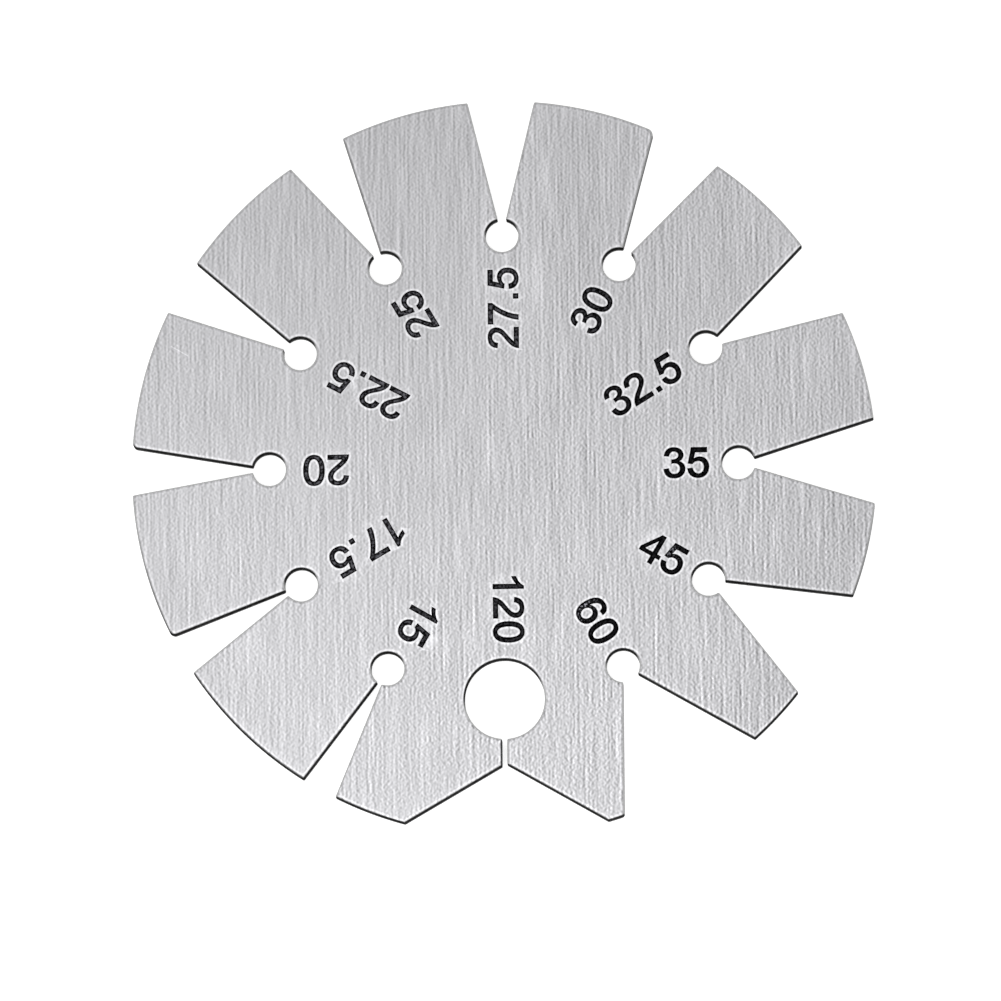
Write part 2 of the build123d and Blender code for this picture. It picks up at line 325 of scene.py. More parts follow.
def inset(p, d):
    """A closed contour moved to its left by d, mitred at its corners."""
    a, b = p - np.roll(p, 1, 0), np.roll(p, -1, 0) - p
    na = np.stack([-a[:, 1], a[:, 0]], 1) / np.linalg.norm(a, axis=1)[:, None]
    nb = np.stack([-b[:, 1], b[:, 0]], 1) / np.linalg.norm(b, axis=1)[:, None]
    m = na + nb
    m /= np.maximum((m * na).sum(1), 0.5)[:, None]
    return p + m * d


def number_contours():
    """Every figure's contours in place: a list of figures, each a list of contours."""
    figures = []
    for text, direction, tilt, mid, centres in LABELS:
        u_mid = (centres[0] + centres[-1]) / 2
        a = math.radians(direction + tilt)
        turn = np.array([[math.cos(a), -math.sin(a)], [math.sin(a), math.cos(a)]])
        for ch, u in zip(text, centres):
            v = mid + (u - u_mid) * math.tan(math.radians(tilt))
            if ch == ".":
                v += POINT_DROP
            at = polar(u, direction) + polar(v, direction + 90)
            rings = []
            for k, contour in enumerate(GLYPHS[ch]):
                p = contour_points(contour)
                if (area2(p) > 0) != (k == 0):
                    p = p[::-1]
                rings.append(inset(p @ turn.T + at, -NUMBER_GROW))
            figures.append(rings)
    return figures


def inside(points, rings):
    """Even-odd test of points against closed rings."""
    res = np.zeros(len(points), bool)
    x, y = points[:, 0], points[:, 1]
    for ring in rings:
        q = np.roll(ring, -1, 0)
        for (x0, y0), (x1, y1) in zip(ring, q):
            if y0 == y1:
                continue
            hit = (y0 > y) != (y1 > y)
            res ^= hit & (x < (x1 - x0) * (y - y0) / (y1 - y0) + x0)
    return res


def triangulate(rings, extra=()):
    """Triangles within the rings, as indexes into the rings' points and then the extra ones."""
    pts = np.concatenate(list(rings) + ([np.asarray(extra)] if len(extra) else []))
    edges, at = [], 0
    for r in rings:
        k = len(r)
        edges += [(at + i, at + (i + 1) % k) for i in range(k)]
        at += k
    v, _, f, orig, _, _ = delaunay_2d_cdt([Vector(p) for p in pts], edges, [], 1, 1e-7, True)
    index = [o[0] for o in orig]
    tris = np.array([[index[i] for i in t] for t in f if len(t) == 3])
    a, b, c = pts[tris[:, 0]], pts[tris[:, 1]], pts[tris[:, 2]]
    turn = (b - a)[:, 0] * (c - a)[:, 1] - (b - a)[:, 1] * (c - a)[:, 0]
    tris[turn < 0] = tris[turn < 0][:, ::-1]
    tris = tris[np.abs(turn) > 1e-12]
    return tris[inside(pts[tris].mean(1), rings)], pts


# -------------------------------------------------------------------- mesh
class Builder:
    def __init__(self):
        self.v, self.faces, self.mat = [], [], []
        self.normals, self.uvs = [], []
        self.n = 0

    def points(self, p):
        self.v.append(np.asarray(p, float))
        first = self.n
        self.n += len(p)
        return first

    def add(self, face, mat, normals, uvs):
        self.faces.append(face)
        self.mat.append(mat)
        self.normals += normals
        self.uvs += uvs


TOP_UV, LOW_UV = 0.735, 0.250        # sides of the two faces' squares in the map


def uv_top(p):
    return (0.005 + (p[0] + 27.2) / 54.4 * TOP_UV, 0.005 + (p[1] + 27.2) / 54.4 * TOP_UV)


def uv_low(p):
    return (0.747 + (p[0] + 27.2) / 54.4 * LOW_UV, 0.747 + (p[1] + 27.2) / 54.4 * LOW_UV)


FACE, CUT, NUMBER = 0, 1, 2


def build_plate():
    B = Builder()
    pts, nrm, run, length = sample_outline(STEP)
    n = len(pts)
    tan = np.stack([-nrm[:, 1], nrm[:, 0]], 1)

    # rows of the edge from the top face round to the underside: inset, height,
    # how far the normal leans out, and how deep the cutting lines are
    rows = []
    for k in range(4):
        a = math.pi / 2 * k / 3
        rows.append((EDGE_R * (1 - math.sin(a)), THICK - EDGE_R * (1 - math.cos(a)), a, 0.0))
    for z in (0.72, 0.42, 0.2):
        rows.append((0.0, z, math.pi / 2, 1.0))
    for k in range(3, -1, -1):
        a = math.pi / 2 * k / 3
        rows.append((EDGE_R * (1 - math.sin(a)), EDGE_R * (1 - math.cos(a)), math.pi - a, 0.0))
    m = len(rows)
    fine = wander(length, 0.17, 3)
    broad = wander(length, 0.9, 5)
    row_first, row_n = [], []
    for r, (d, z, a, cut) in enumerate(rows):
        drag = 0.22 * (1 - z / THICK) ** 2      # the lines trail towards the underside
        grow = 0.6 + 0.7 * (1 - z / THICK)

        def depth(s):
            return (0.5 + 0.36 * fine(s + drag) + 0.14 * broad(s)) * CUT_DEPTH * grow
        dep = depth(run) * cut
        slope = (depth(run + 0.02) - depth(run - 0.02)) / 0.04 * cut
        xy = pts - nrm * (d + dep)[:, None] if cut else pts - nrm * d
        row_first.append(B.points(np.column_stack([xy, np.full(n, z)])))
        flat = nrm + tan * slope[:, None] if cut else nrm
        vec = np.column_stack([flat * math.sin(a), np.full(n, math.cos(a))])
        row_n.append(vec / np.linalg.norm(vec, axis=1)[:, None])
    allp = np.concatenate(B.v)

    # strips for the edge faces in the map
    strip_n = 9
    strip_len = length / strip_n * 1.001
    wall_rows = range(3, m - 4)
    z_hi, z_lo = rows[3][1], rows[m - 4][1]
    strip = np.minimum((run / strip_len).astype(int), strip_n - 1)

    def uv_wall(i, r, s_no, s):
        u = 0.006 + (s - s_no * strip_len) / strip_len * 0.72
        t = (rows[r][1] - z_lo) / (z_hi - z_lo)
        return (u, 0.755 + s_no * 0.0265 + 0.0185 * t)

    for r in range(m - 1):
        for i in range(n):
            j = (i + 1) % n
            a, b = row_first[r] + i, row_first[r] + j
            c, d = row_first[r + 1] + j, row_first[r + 1] + i
            face = (a, d, c, b)
            normals = [row_n[r][i], row_n[r + 1][i], row_n[r + 1][j], row_n[r][j]]
            if r in wall_rows:
                s_no = strip[i]
                s0, s1 = run[i], run[j] if j else length
                uvs = [uv_wall(i, r, s_no, s0), uv_wall(i, r + 1, s_no, s0),
                       uv_wall(j, r + 1, s_no, s1), uv_wall(j, r, s_no, s1)]
                B.add(face, CUT, normals, uvs)
            else:
                uv = uv_top if r < 3 else uv_low
                B.add(face, FACE if r == m - 2 else CUT, normals, [uv(allp[q]) for q in face])

    # the numbered face: its outline, the figures' outlines, and points beside
    # both that carry the distance to the nearest edge
    ring = pts - nrm * EDGE_R
    figures = number_contours()
    contours = [c for f in figures for c in f]
    # the painted highlight line is strong on edges that face down and to the right
    hub = (np.abs(pts[:, 0]) < 3.3) & (pts[:, 1] < -13.0)
    # the painted shade line is stronger round the holes and on the right of the slit
    holes = [(polar(PITCH_R, d), RELIEF_R) for d in NOTCHES] + [(np.array([HANG_X, HANG_Y]), HANG_R)]
    in_hole = np.any([np.linalg.norm(pts - c, axis=1) < r + 0.02 for c, r in holes], axis=0)
    slit_right = (np.abs(pts[:, 0] - SLIT_X) < 0.3) & (nrm[:, 0] < -0.5) & (pts[:, 1] > -21.7) & (pts[:, 1] < -19.7)
    axis = np.where(hub[:, None], [0.292, -0.956], np.where(in_hole[:, None], [0.174, -0.985], [0.020, -1.0]))
    reach = np.where(hub, 0.38, np.where(in_hole, 0.50, 0.62))
    facing = np.clip(((nrm * axis).sum(1) + np.where(hub, 0.05, -0.03)) / reach, 0, 1)
    turned = facing * facing * (3 - 2 * facing)
    # painted shade: the straight edges and the rim are darker where they face left and a little down
    way = np.degrees(np.arctan2(nrm[:, 1], nrm[:, 0]))
    leftward = np.where(hub | in_hole, 0.0, np.clip(1 - np.abs((way - 198 + 180) % 360 - 180) / 17, 0, 1))
    turned += 0.21 * leftward
    facing = 0.10 + 0.90 * turned
    sideways = np.clip((nrm @ np.array([0.174, -0.985]) + 0.3) / 0.95, 0, 1)
    sideways = np.clip(sideways * sideways * (3 - 2 * sideways) * 1.1 - turned, 0, 1)
    sideways[slit_right] = 1.0
    beside = []
    for d, _ in GLOW[2:]:
        k = max(2, round(d / STEP))
        beside.append((ring - nrm * d)[::k])
    for d, _ in NUMBER_GLOW[1:]:
        for c in contours:
            beside.append(inset(c, -d)[::2 if d < 0.15 else 3])
    side = np.arange(-26.5, 27.0, 1.0)
    beside.append(np.array([(x + 0.25 * (j % 2), y) for j, y in enumerate(side) for x in side]))
    beside = np.concatenate(beside)
    edge_tree = KDTree(n + sum(len(c) for c in contours))
    at = 0
    dense = [ring] + contours
    for c in dense:
        for p in c:
            edge_tree.insert((p[0], p[1], 0), at)
            at += 1
    edge_tree.balance()
    # true distance to the polylines, from the nearest sample's two neighbours
    flat_pts = np.concatenate(dense)
    prev = np.concatenate([np.roll(np.arange(len(c)), 1) + o for c, o in zip(dense, np.cumsum([0] + [len(c) for c in dense[:-1]]))])
    nxt = np.concatenate([np.roll(np.arange(len(c)), -1) + o for c, o in zip(dense, np.cumsum([0] + [len(c) for c in dense[:-1]]))])

    def seg_dist(p, a, b):
        t = np.clip(((p - a) @ (b - a)) / max((b - a) @ (b - a), 1e-12), 0, 1)
        return np.linalg.norm(p - a - t * (b - a))

    # the painted shade line reaches further in where an edge faces down and to the left, most of all on the rim and
    # along the straight edges of the lowest notches
    bump = np.clip(1 - np.abs((way - 227 + 180) % 360 - 180) / 26, 0, 1)
    on_rim = np.linalg.norm(pts, axis=1) > DISC_R - 0.02
    low = np.clip((-pts[:, 1] - 7.0) / 8.0, 0, 1) * np.clip(turned, 0, 1) * ~(on_rim | in_hole | slit_right)
    late = LATE * np.maximum(bump * (2 - bump) * np.where(on_rim, 1.05, 0.58), np.maximum(0.5 * low, 0.68 * leftward))
    late = np.concatenate([late, np.zeros(len(flat_pts) - n)])
    soft = np.concatenate([sideways, np.zeros(len(flat_pts) - n)])
    strength = np.concatenate([facing, np.full(len(flat_pts) - n, -1.0)])
    shade_weight = np.concatenate([(1 - turned) * np.where(in_hole, 1.3, np.where(slit_right, 1.5, 1.0)),
                           np.zeros(len(flat_pts) - n)])

    def distance(p):
        best, weight, dim, start, faint = 9.0, 0.0, 0.0, 0.0, 0.0
        for _, i, _ in edge_tree.find_n((p[0], p[1], 0), 3):
            d = min(seg_dist(p, flat_pts[i], flat_pts[prev[i]]), seg_dist(p, flat_pts[i], flat_pts[nxt[i]]))
            if d < best:
                best, weight, dim, start, faint = d, strength[i], shade_weight[i], late[i], soft[i]
        return best, weight, dim, start, faint
    dist, weight, dim, start, faint = np.array([distance(p) for p in beside]).T
    # painted highlight and painted shade beside the plate's edge, set by the way the edge faces, and the pale halo
    # round the figures
    glow = np.interp(dist - start, *zip(*GLOW)) * weight - np.interp(dist, *zip(*SHADE)) * dim
    glow += np.interp(dist, *zip(*SOFT_GLOW)) * faint
    glow = np.where(weight < 0, np.interp(dist, *zip(*NUMBER_GLOW)), glow)
    keep = dist > 0.045
    # within the plate and outside the figures
    keep &= inside(beside, [ring[::1]])
    for f in figures:
        lo, hi = f[0].min(0) - 0.05, f[0].max(0) + 0.05
        near = ((beside > lo) & (beside < hi)).all(1) & keep
        idx = np.nonzero(near)[0]
        if len(idx):
            keep[idx[inside(beside[idx], f)]] = False
    beside, glow = beside[keep], glow[keep]
    # no two added points nearly on top of each other
    cell, seen, pick = 0.04, set(), []
    for i, p in enumerate(beside):
        key = (int(p[0] / cell), int(p[1] / cell))
        if key not in seen:
            seen.add(key)
            pick.append(i)
    beside, glow = beside[pick], glow[pick]

    tris, flat = triangulate([ring] + contours, beside)
    count = n + sum(len(c) for c in contours)
    first_contour = B.points(np.column_stack([np.concatenate(contours), np.full(count - n, THICK)]))
    first_extra = B.points(np.column_stack([beside, np.full(len(beside), THICK)]))

    def top_index(i):
        if i < n:
            return row_first[0] + i
        if i < count:
            return first_contour + i - n
        return first_extra + i - count
    up = np.array([0.0, 0.0, 1.0])
    for t in tris:
        B.add(tuple(top_index(i) for i in t), FACE, [up] * 3, [uv_top(flat[i]) for i in t])

    # the underside
    low = pts - nrm * EDGE_R
    tris, flat = triangulate([low])
    down = -up
    for t in tris:
        B.add(tuple(row_first[m - 1] + i for i in t[::-1]), FACE, [down] * 3,
              [uv_low(flat[i]) for i in t[::-1]])

    # the engraved figures: a steep side and a floor
    at = first_contour
    core = []
    for f in figures:
        floors, firsts = [], []
        lo, hi = f[0].min(0), f[0].max(0)
        grid = np.array([(x + 0.03 * (j % 2), y) for j, y in enumerate(np.arange(lo[1], hi[1], 0.052))
                         for x in np.arange(lo[0], hi[0], 0.06)])
        grid = grid[inside(grid, [inset(c, NUMBER_SIDE) for c in f])]
        deep = np.array([distance(p)[0] for p in grid])
        grid, deep = grid[deep > NUMBER_SIDE + 0.022], deep[deep > NUMBER_SIDE + 0.022]
        for c in f:
            g = inset(c, NUMBER_SIDE)
            k = len(c)
            low_first = B.points(np.column_stack([g, np.full(k, THICK - NUMBER_DEPTH)]))
            e = np.roll(c, -1, 0) - c
            side = np.stack([-e[:, 1], e[:, 0]], 1) / np.linalg.norm(e, axis=1)[:, None]
            for i in range(k):
                j = (i + 1) % k
                lean = np.array([*side[i] * 0.67, 0.74])
                face = (at + i, low_first + i, low_first + j, at + j)
                # seen from the groove, the side runs the other way round
                face = face[::-1]
                quad = [c[j], g[j], g[i], c[i]]
                B.add(face, NUMBER, [lean] * 4, [uv_top(q) for q in quad])
            floors.append(g)
            firsts.append(low_first)
            at += k
        tris, flat = triangulate(floors, grid)
        starts = np.cumsum([0] + [len(g) for g in floors])
        firsts.append(B.points(np.column_stack([grid, np.full(len(grid), THICK - NUMBER_DEPTH)])))
        core.append((firsts[-1], np.interp(deep, *zip(*FILL))))

        def floor_index(i):
            w = int(np.searchsorted(starts, i, side="right")) - 1
            return firsts[w] + i - starts[w]
        for t in tris:
            B.add(tuple(floor_index(i) for i in t), NUMBER, [up] * 3, [uv_top(flat[i]) for i in t])

    verts = np.concatenate(B.v)
    # painted highlight and shade on the plate's edge line and the halo on the figures' outlines, kept as a vertex
    # attribute
    shine = np.zeros(len(verts))
    shine[row_first[0]:row_first[0] + n] = np.interp(-late[:n], *zip(*GLOW)) * facing - SHADE[0][1] * shade_weight[:n]
    shine[first_contour:first_contour + count - n] = NUMBER_GLOW[0][1]
    shine[first_extra:first_extra + len(beside)] = glow
    # painted light and shade on the rounded edge: pale where it faces up and to the left, dark where it faces down and
    # to the right
    edge_tone_and_shading = np.zeros(len(verts))
    for first, (seen, unseen) in zip(row_first, EDGE_TONE):
        edge_tone_and_shading[first:first + n] = seen * turned + unseen * (1 - turned)
    mesh = bpy.data.meshes.new("gauge_plate_visual")
    mesh.from_pydata((verts / 1000).tolist(), [], B.faces)
    mesh.polygons.foreach_set("material_index", np.array(B.mat, np.int32))
    mesh.polygons.foreach_set("use_smooth", np.ones(len(B.faces), bool))
    uv = mesh.uv_layers.new(name="OFBake")
    uv.data.foreach_set("uv", np.array(B.uvs, np.float32).ravel())
    attr = mesh.attributes.new("edge_light_shade_and_halo", "FLOAT", "POINT")
    attr.data.foreach_set("value", shine.astype(np.float32))
    attr = mesh.attributes.new("edge_tone_and_shading", "FLOAT", "POINT")
    attr.data.foreach_set("value", edge_tone_and_shading.astype(np.float32))
    middle = np.zeros(len(verts))
    for i, amount in core:
        middle[i:i + len(amount)] = amount
    attr = mesh.attributes.new("stroke_middle", "FLOAT", "POINT")
    attr.data.foreach_set("value", middle.astype(np.float32))
    mesh.update()
    mesh.normals_split_custom_set(np.array(B.normals).tolist())
    obj = bpy.data.objects.new("gauge_plate_visual", mesh)
    bpy.context.scene.collection.objects.link(obj)
    tri_count = sum(len(f) - 2 for f in B.faces)
    print("plate: outline points", n, "length mm", round(length, 1), "triangles", tri_count)
    return obj


# --------------------------------------------------------------- materials
class Nodes:
    """Short hands for building a shader tree."""

    def __init__(self, name):
        self.mat = bpy.data.materials.new(name)
        self.mat.use_nodes = True
        self.tree = self.mat.node_tree
        self.tree.nodes.clear()
        self.out = self.tree.nodes.new("ShaderNodeOutputMaterial")
        self.bsdf = self.tree.nodes.new("ShaderNodeBsdfPrincipled")
        self.tree.links.new(self.bsdf.outputs[0], self.out.inputs["Surface"])

    def link(self, a, b):
        self.tree.links.new(a, b)

    def new(self, kind, **props):
        node = self.tree.nodes.new(kind)
        for k, v in props.items():
            setattr(node, k, v)
        return node

    def math(self, op, a, b=None, c=None, clamp=False):
        node = self.new("ShaderNodeMath", operation=op, use_clamp=clamp)
        for i, x in enumerate((a, b, c)):
            if x is None:
                continue
            if isinstance(x, (int, float)):
                node.inputs[i].default_value = x
            else:
                self.link(x, node.inputs[i])
        return node.outputs[0]

    def coords(self):
        tc = self.new("ShaderNodeTexCoord")
        return tc.outputs["Object"]

    def scaled(self, vec, sx, sy, sz, shift=(0, 0, 0)):
        """Object metres to pattern units, sx, sy and sz per millimetre."""
        m = self.new("ShaderNodeMapping")
        m.inputs["Scale"].default_value = (sx * 1000, sy * 1000, sz * 1000)
        m.inputs["Location"].default_value = shift
        self.link(vec, m.inputs["Vector"])
        return m.outputs[0]

    def noise(self, vec, detail=0.0, rough=0.5, distortion=0.0):
        t = self.new("ShaderNodeTexNoise", noise_dimensions="3D")
        t.inputs["Scale"].default_value = 1.0
        t.inputs["Detail"].default_value = detail
        t.inputs["Roughness"].default_value = rough
        t.inputs["Distortion"].default_value = distortion
        self.link(vec, t.inputs["Vector"])
        return t.outputs[0]

    def flat(self, vec, sx, sy, at, gain):
        """Signed noise over X and Y alone, sx and sy cells a millimetre."""
        m = self.new("ShaderNodeMapping")
        m.inputs["Scale"].default_value = (sx * 1000, sy * 1000, 1)
        m.inputs["Location"].default_value = (at[0], at[1], 0)
        self.link(vec, m.inputs["Vector"])
        t = self.new("ShaderNodeTexNoise", noise_dimensions="2D")
        t.inputs["Scale"].default_value = 1.0
        t.inputs["Detail"].default_value = 0.0
        self.link(m.outputs[0], t.inputs["Vector"])
        return self.signed(t.outputs[0], gain)

    def stroke(self, vec, sx, sy, at, gain, apart=0.152):
        """Grain of fine grooves, each painted with a lighter and a darker side as painted light and shade: the same
        noise twice, a little apart in X.
        """
        half = apart * sx / 2
        a = self.flat(vec, sx, sy, (at[0] + half, at[1]), gain)
        b = self.flat(vec, sx, sy, (at[0] - half, at[1]), gain)
        return self.math("SUBTRACT", a, b)

    def total(self, *parts):
        out = parts[0]
        for p in parts[1:]:
            out = self.math("ADD", out, p)
        return out

    def signed(self, socket, gain):
        """Noise about 0.5 to a signed value with this gain."""
        return self.math("MULTIPLY", self.math("SUBTRACT", socket, 0.5), gain)

    def ramp(self, value, lo, hi, a=0.0, b=1.0):
        m = self.new("ShaderNodeMapRange", clamp=True, interpolation_type="SMOOTHSTEP")
        self.link(value, m.inputs[0])
        for i, x in zip((1, 2, 3, 4), (lo, hi, a, b)):
            m.inputs[i].default_value = x
        return m.outputs[0]

    def grey(self, value, tint=(1.0, 1.0, 1.0)):
        c = self.new("ShaderNodeCombineColor")
        for i, t in enumerate(tint):
            self.link(self.math("MULTIPLY", value, t), c.inputs[i])
        return c.outputs[0]


def brushed_steel():
    """Fine brushed stainless sheet with its grain along Y."""
    N = Nodes("brushed_stainless")
    pos = N.coords()
    # strokes of different length, which come and go, and a fine tooth over them
    xyz = N.new("ShaderNodeSeparateXYZ")
    N.link(pos, xyz.inputs[0])

    def across(ax, ay, lo, hi, a, b):
        """A slow change over the plate along the direction (ax, ay), in metres."""
        s = N.math("ADD", N.math("MULTIPLY", xyz.outputs[0], ax), N.math("MULTIPLY", xyz.outputs[1], ay))
        return N.ramp(s, lo, hi, a, b)
    patch = N.flat(pos, 0.11, 0.08, (2.0, 3.0), 0.25)
    deep = N.math("ADD", across(0.91, 0.41, -0.024, 0.024, 0.76, 1.18), patch)
    sharp = N.math("ADD", across(0.93, -0.37, -0.024, 0.024, 0.86, 1.42), patch)
    come = N.flat(pos, 2.0, 0.25, (4.4, 3.3), 3.0)
    long = N.math("MULTIPLY", N.stroke(pos, 5.5, 0.11, (3.1, 7.7), 1.0), N.math("ADD", 1.0, come))
    mid = N.math("MULTIPLY", N.stroke(pos, 5.1, 0.45, (11.3, 2.9), 0.8), N.math("SUBTRACT", 1.0, come))
    tooth = N.stroke(pos, 5.8, 4.6, (5.7, 1.9), 1.40)
    plain = N.flat(pos, 5.0, 0.35, (1.3, 9.1), 0.5)
    speck = N.flat(pos, 5.2, 3.8, (7.3, 4.1), 0.45)
    broad = N.flat(pos, 0.9, 0.06, (8.2, 0.4), 0.16)
    # here and there a longer, brighter stroke
    glint = N.ramp(N.flat(pos, 3.6, 0.15, (6.6, 1.4), 1.0), 0.11, 0.25, -0.075, 0.375)
    # the strokes have more contrast towards the upper right and the tooth more towards the lower right
    strokes = N.math("MULTIPLY", N.total(long, mid, plain, glint), deep)
    grain = N.total(strokes, N.math("MULTIPLY", N.total(tooth, speck), sharp), broad)
    # painted highlight and painted shade along the edges, and the pale halo round the figures, from the vertex
    # attribute
    attr = N.new("ShaderNodeAttribute", attribute_name="edge_light_shade_and_halo")
    value = N.math("MULTIPLY", N.math("ADD", N.math("MULTIPLY", grain, 0.245), 1.0), 0.56)
    value = N.math("ADD", value, N.math("MULTIPLY", attr.outputs["Fac"], 0.24))
    # slow changes of tone: darker at the right and lower left, and a paler band up the middle that is a painted
    # reflection
    painted_reflection_band = N.math("MULTIPLY", across(1, 0, -0.004, 0.0, 0.0, 0.075), across(1, 0, 0.002, 0.0055, 1.0, 0.0))
    painted_reflection_band = N.math("MULTIPLY", painted_reflection_band, across(0, 1, -0.003, 0.014, 0.0, 1.0))
    tone = N.total(across(0.87, -0.45, 0.015, 0.028, 1.0, 0.90), across(-0.9, -0.45, 0.021, 0.029, 0.0, -0.08),
                   painted_reflection_band, across(0.7, 0.7, 0.019, 0.027, 0.0, 0.035))
    value = N.math("MULTIPLY", value, tone)
    # one faint scratch near the left rim and two small pits
    def segment(x0, y0, x1, y1, half, strength):
        """Strength on a line from one point to the other, soft to half its width; millimetres."""
        length = math.hypot(x1 - x0, y1 - y0)
        ux, uy = (x1 - x0) / length, (y1 - y0) / length
        x = N.math("SUBTRACT", xyz.outputs[0], x0 / 1000)
        y = N.math("SUBTRACT", xyz.outputs[1], y0 / 1000)
        along = N.math("ADD", N.math("MULTIPLY", x, ux), N.math("MULTIPLY", y, uy))
        off = N.math("ABSOLUTE", N.math("SUBTRACT", N.math("MULTIPLY", x, uy), N.math("MULTIPLY", y, ux)))
        past = N.math("ABSOLUTE", N.math("SUBTRACT", along, length / 2000))
        ends = N.ramp(past, (length / 2 - half) / 1000, (length / 2 + half) / 1000, 1.0, 0.0)
        return N.math("MULTIPLY", ends, N.ramp(off, 0.0, half / 1000, strength, 0.0))
    marks = N.total(segment(*SCRATCH, 0.07, 0.22), segment(*PITS[0], 0.09, -0.30), segment(*PITS[1], 0.08, -0.24))
    value = N.math("ADD", value, marks)
    N.link(N.grey(value, (1.0, 0.997, 1.026)), N.bsdf.inputs["Base Color"])
    N.bsdf.inputs["Metallic"].default_value = 1.0
    rough = N.math("ADD", N.math("MULTIPLY", grain, -0.05), 0.34, clamp=True)
    N.link(rough, N.bsdf.inputs["Roughness"])
    N.bsdf.inputs["Anisotropic"].default_value = 0.65
    tangent = N.new("ShaderNodeTangent", direction_type="UV_MAP", uv_map="OFBake")
    N.link(tangent.outputs[0], N.bsdf.inputs["Tangent"])
    bump = N.new("ShaderNodeBump")
    bump.inputs["Strength"].default_value = 0.3
    bump.inputs["Distance"].default_value = 0.000004
    N.link(N.math("ADD", grain, 0.5), bump.inputs["Height"])
    N.link(bump.outputs[0], N.bsdf.inputs["Normal"])
    return N.mat


def cut_edge():
    """Dark oxide on the cut faces, streaked from face to face; on the rounding where it meets the face, painted light
    and shade: greyer where the edge faces up and to the left, dark where it faces down and to the right.
    """
    N = Nodes("cut_edge_oxide")
    pos = N.coords()
    streak = N.noise(N.scaled(pos, 4.2, 4.2, 0.5, (2.2, 6.4, 1.1)), detail=2.0, rough=0.6)
    patch = N.noise(N.scaled(pos, 0.35, 0.35, 0.6, (7.0, 1.0, 3.0)), detail=2.0)
    dark = N.total(N.math("MULTIPLY", N.ramp(streak, 0.35, 0.8), 0.022), N.math("MULTIPLY", patch, 0.010))
    # painted light and shade of the rounded edge, from the vertex attribute
    edge_tone_and_shading = N.new("ShaderNodeAttribute", attribute_name="edge_tone_and_shading")
    N.link(N.grey(N.math("ADD", dark, edge_tone_and_shading.outputs["Fac"]), (1.0, 1.0, 1.0)), N.bsdf.inputs["Base Color"])
    N.bsdf.inputs["Metallic"].default_value = 0.0
    N.bsdf.inputs["Specular IOR Level"].default_value = 0.0
    N.link(N.ramp(streak, 0.3, 0.7, 0.42, 0.6), N.bsdf.inputs["Roughness"])
    bump = N.new("ShaderNodeBump")
    bump.inputs["Strength"].default_value = 0.5
    bump.inputs["Distance"].default_value = 0.00001
    N.link(streak, bump.inputs["Height"])
    N.link(bump.outputs[0], N.bsdf.inputs["Normal"])
    return N.mat


def number_fill():
    """Black fill in the engraved figures: blackest along the sides of a stroke, paler and mottled in its middle, and
    paler on the whole towards the upper left."""
    N = Nodes("number_black")
    pos = N.coords()
    speck = N.noise(N.scaled(pos, 7.5, 7.5, 1.0, (4.0, 2.0, 6.0)), detail=1.0, rough=0.5)
    xyz = N.new("ShaderNodeSeparateXYZ")
    N.link(pos, xyz.inputs[0])
    left = N.math("ADD", N.math("MULTIPLY", xyz.outputs[0], -0.94), N.math("MULTIPLY", xyz.outputs[1], 0.34))
    # paler on the whole towards the upper left
    paleness = N.ramp(left, -0.012, 0.012, 0.005, 0.062)
    blotch = N.ramp(N.noise(N.scaled(pos, 4.4, 4.4, 1.0, (1.0, 5.0, 2.0)), detail=1.0), 0.38, 0.66, 0.04, 2.1)
    worn = N.math("MULTIPLY", N.ramp(speck, 0.52, 0.72), 0.016)
    for x0, y0 in BARE:
        dx = N.math("SUBTRACT", xyz.outputs[0], x0 / 1000)
        dy = N.math("SUBTRACT", xyz.outputs[1], y0 / 1000)
        away = N.math("SQRT", N.math("ADD", N.math("MULTIPLY", dx, dx), N.math("MULTIPLY", dy, dy)))
        spot = N.ramp(away, 0.0003, 0.0010, 0.21, 0.0)
        worn = N.math("ADD", worn, N.math("MULTIPLY", spot, N.ramp(speck, 0.53, 0.62)))
    middle = N.new("ShaderNodeAttribute", attribute_name="stroke_middle")
    fill = N.math("MULTIPLY", N.math("ADD", N.math("MULTIPLY", paleness, blotch), worn), middle.outputs["Fac"])
    N.link(N.grey(N.math("ADD", fill, 0.0009), (1.0, 0.985, 1.11)), N.bsdf.inputs["Base Color"])
    N.bsdf.inputs["Metallic"].default_value = 0.0
    N.bsdf.inputs["Specular IOR Level"].default_value = 0.004
    N.link(N.ramp(speck, 0.3, 0.7, 0.45, 0.65), N.bsdf.inputs["Roughness"])
    bump = N.new("ShaderNodeBump")
    bump.inputs["Strength"].default_value = 0.4
    bump.inputs["Distance"].default_value = 0.00001
    N.link(speck, bump.inputs["Height"])
    N.link(bump.outputs[0], N.bsdf.inputs["Normal"])
    return N.mat


plate = build_plate()
for material in (brushed_steel(), cut_edge(), number_fill()):
    plate.data.materials.append(material)
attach(plate, "root")
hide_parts("gauge_plate")

# -------------------------------------------------------------------- stage
floor_mesh = bpy.data.meshes.new("floor")
s = 2.5
floor_mesh.from_pydata([(-s, -s, -0.00002), (s, -s, -0.00002), (s, s, -0.00002), (-s, s, -0.00002)], [], [(0, 1, 2, 3)])
floor = bpy.data.objects.new("floor", floor_mesh)
bpy.context.scene.collection.objects.link(floor)
F = Nodes("floor_pale")
F.bsdf.inputs["Base Color"].default_value = (0.9, 0.9, 0.9, 1)
F.bsdf.inputs["Roughness"].default_value = 0.8
F.bsdf.inputs["Specular IOR Level"].default_value = 0.2
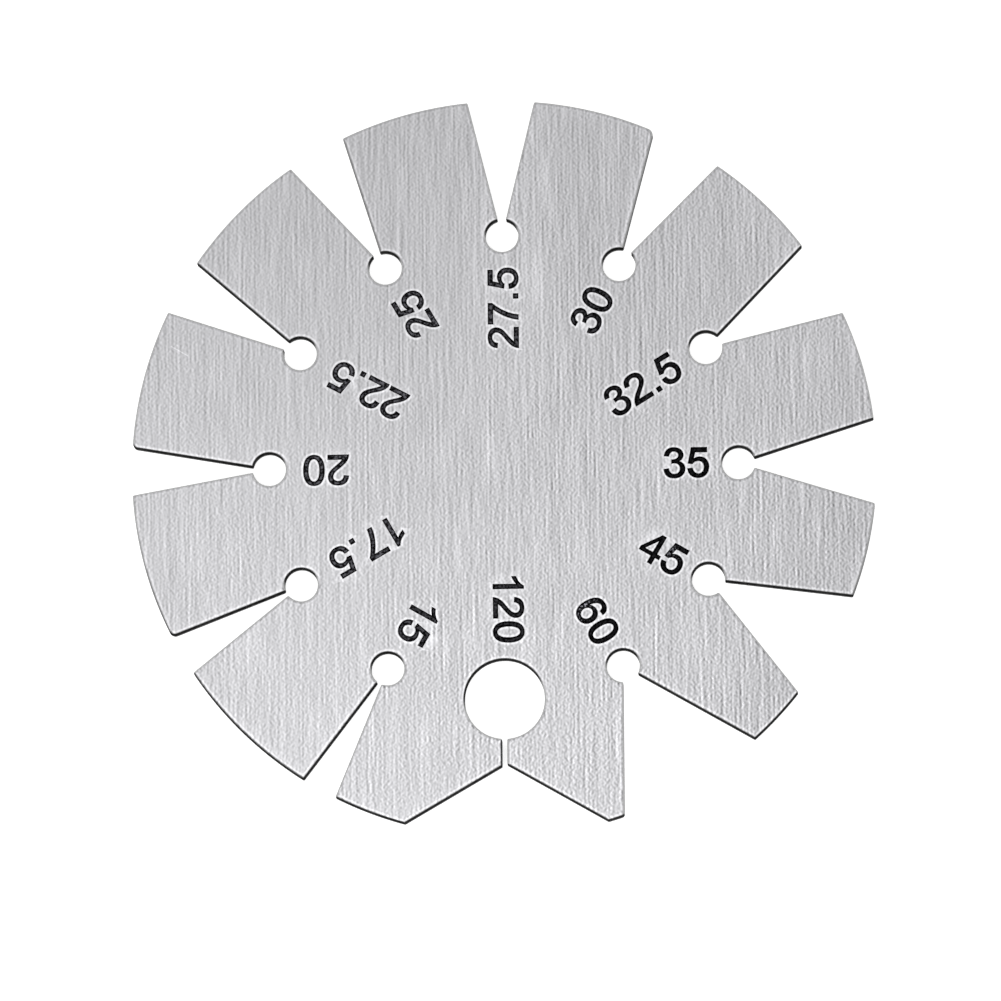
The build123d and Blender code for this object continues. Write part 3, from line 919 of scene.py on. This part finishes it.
# a light table: the floor also glows, so the narrow notches stay as pale as the rest
F.bsdf.inputs["Emission Color"].default_value = (1, 1, 1, 1)
F.bsdf.inputs["Emission Strength"].default_value = 0.65
floor_mesh.materials.append(F.mat)

# ------------------------------------------------------------------- lights
world = bpy.data.worlds.new("studio")
bpy.context.scene.world = world
world.use_nodes = True
world.node_tree.nodes["Background"].inputs[0].default_value = (1.0, 1.0, 1.0, 1)
world.node_tree.nodes["Background"].inputs[1].default_value = 0.81


def softbox(name, centre, aim, width, height, power):
    light = bpy.data.lights.new(name, "AREA")
    light.shape = "RECTANGLE"
    light.size, light.size_y = width, height
    light.energy = power
    o = bpy.data.objects.new(name, light)
    bpy.context.scene.collection.objects.link(o)
    o.location = centre
    o.rotation_mode = "QUATERNION"
    o.rotation_quaternion = (Vector(aim) - Vector(centre)).to_track_quat("-Z", "Y")
    o.visible_camera = False
    return o


# one wide softbox overhead; its edges lie where the plate mirrors them, so the
# tone falls off softly towards the upper right
softbox("overhead", (-0.216, -0.186, 0.40), (-0.216, -0.186, 0.0), 0.46, 0.50, 0.75)

# ------------------------------------------------------------------- camera
TILT, LEAN, TWIST = math.radians(-9.536), math.radians(-2.20), math.radians(0.472)
SHIFT_X, SHIFT_Y, DISTANCE, SCALE = 0.230, 2.493, 700.0, 13.8117   # mm, mm, mm, px per mm
turn = (Matrix.Rotation(TWIST, 3, "Z") @ Matrix.Rotation(TILT, 3, "X") @ Matrix.Rotation(LEAN, 3, "Y"))
camera_data = bpy.data.cameras.new("camera")
camera = bpy.data.objects.new("camera", camera_data)
bpy.context.scene.collection.objects.link(camera)
camera.matrix_world = Matrix.Translation(
    (Vector((0, 0, THICK)) + turn.transposed() @ Vector((-SHIFT_X, -SHIFT_Y, DISTANCE))) / 1000
) @ turn.transposed().to_4x4()
camera_data.sensor_width = 36.0
camera_data.lens = SCALE * DISTANCE / 1001 * 36.0
camera_data.clip_start, camera_data.clip_end = 0.01, 20.0
bpy.context.scene.camera = camera

scene = bpy.context.scene
scene.view_settings.view_transform = "Standard"
scene.view_settings.look = "None"

bpy.context.view_layer.update()
